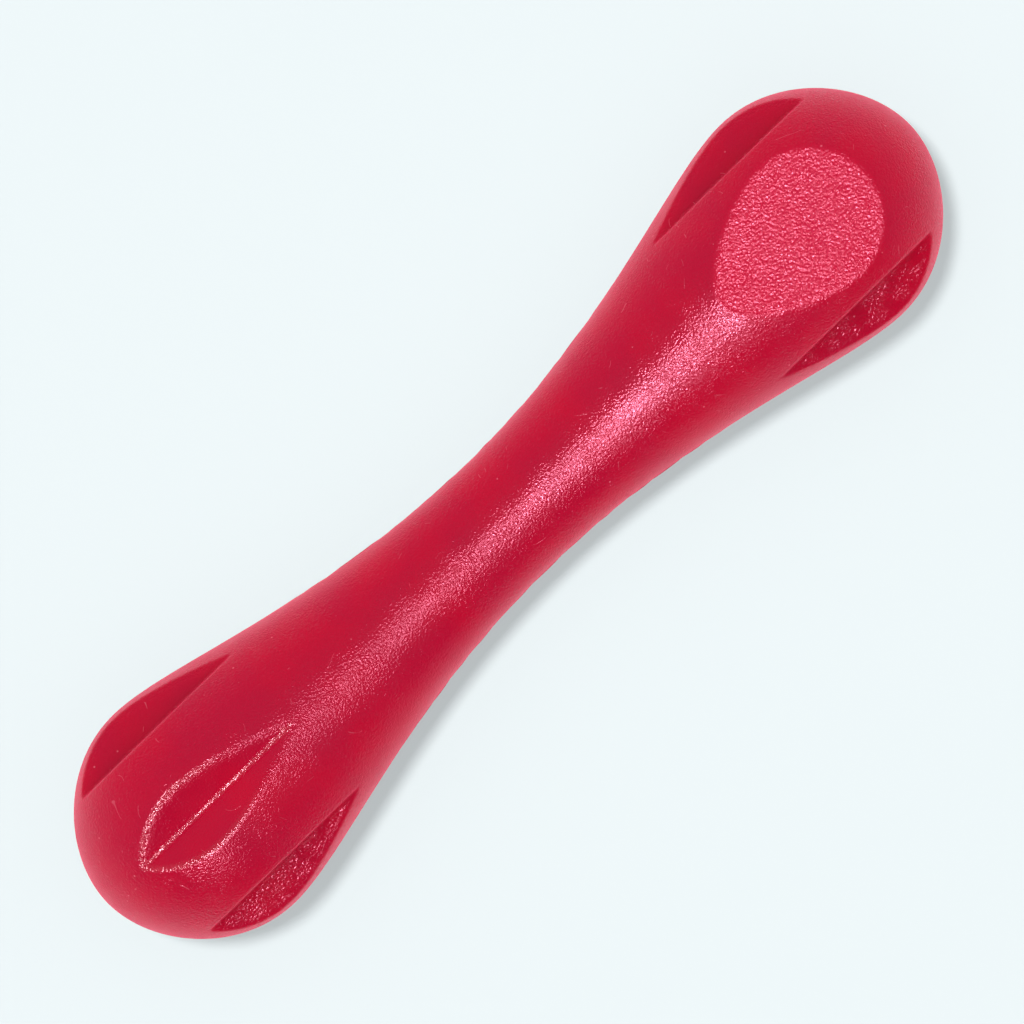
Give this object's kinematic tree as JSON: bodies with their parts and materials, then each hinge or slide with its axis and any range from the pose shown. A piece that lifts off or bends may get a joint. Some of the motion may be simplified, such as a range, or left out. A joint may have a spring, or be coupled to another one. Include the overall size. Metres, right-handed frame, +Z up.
{
  "type": "dog chew bone",
  "caption": "Solid moulded rubber bone for a dog to chew and fetch, with a slim round waist, V-fluted bulb ends and a flat grained pad on top.",
  "frame": {"origin": "on the floor under the middle of the bone, halfway between its tips and straight below its axis", "axes": "+X along the bone towards the bulb with the flat pad, +Z up out of the flat pad"},
  "size_m": [0.21, 0.0492, 0.0471],
  "materials": {
    "red_rubber": "satin"
  },
  "bodies": {
    "root": {"chew_bone": "red_rubber"}
  },
  "joints": []
}
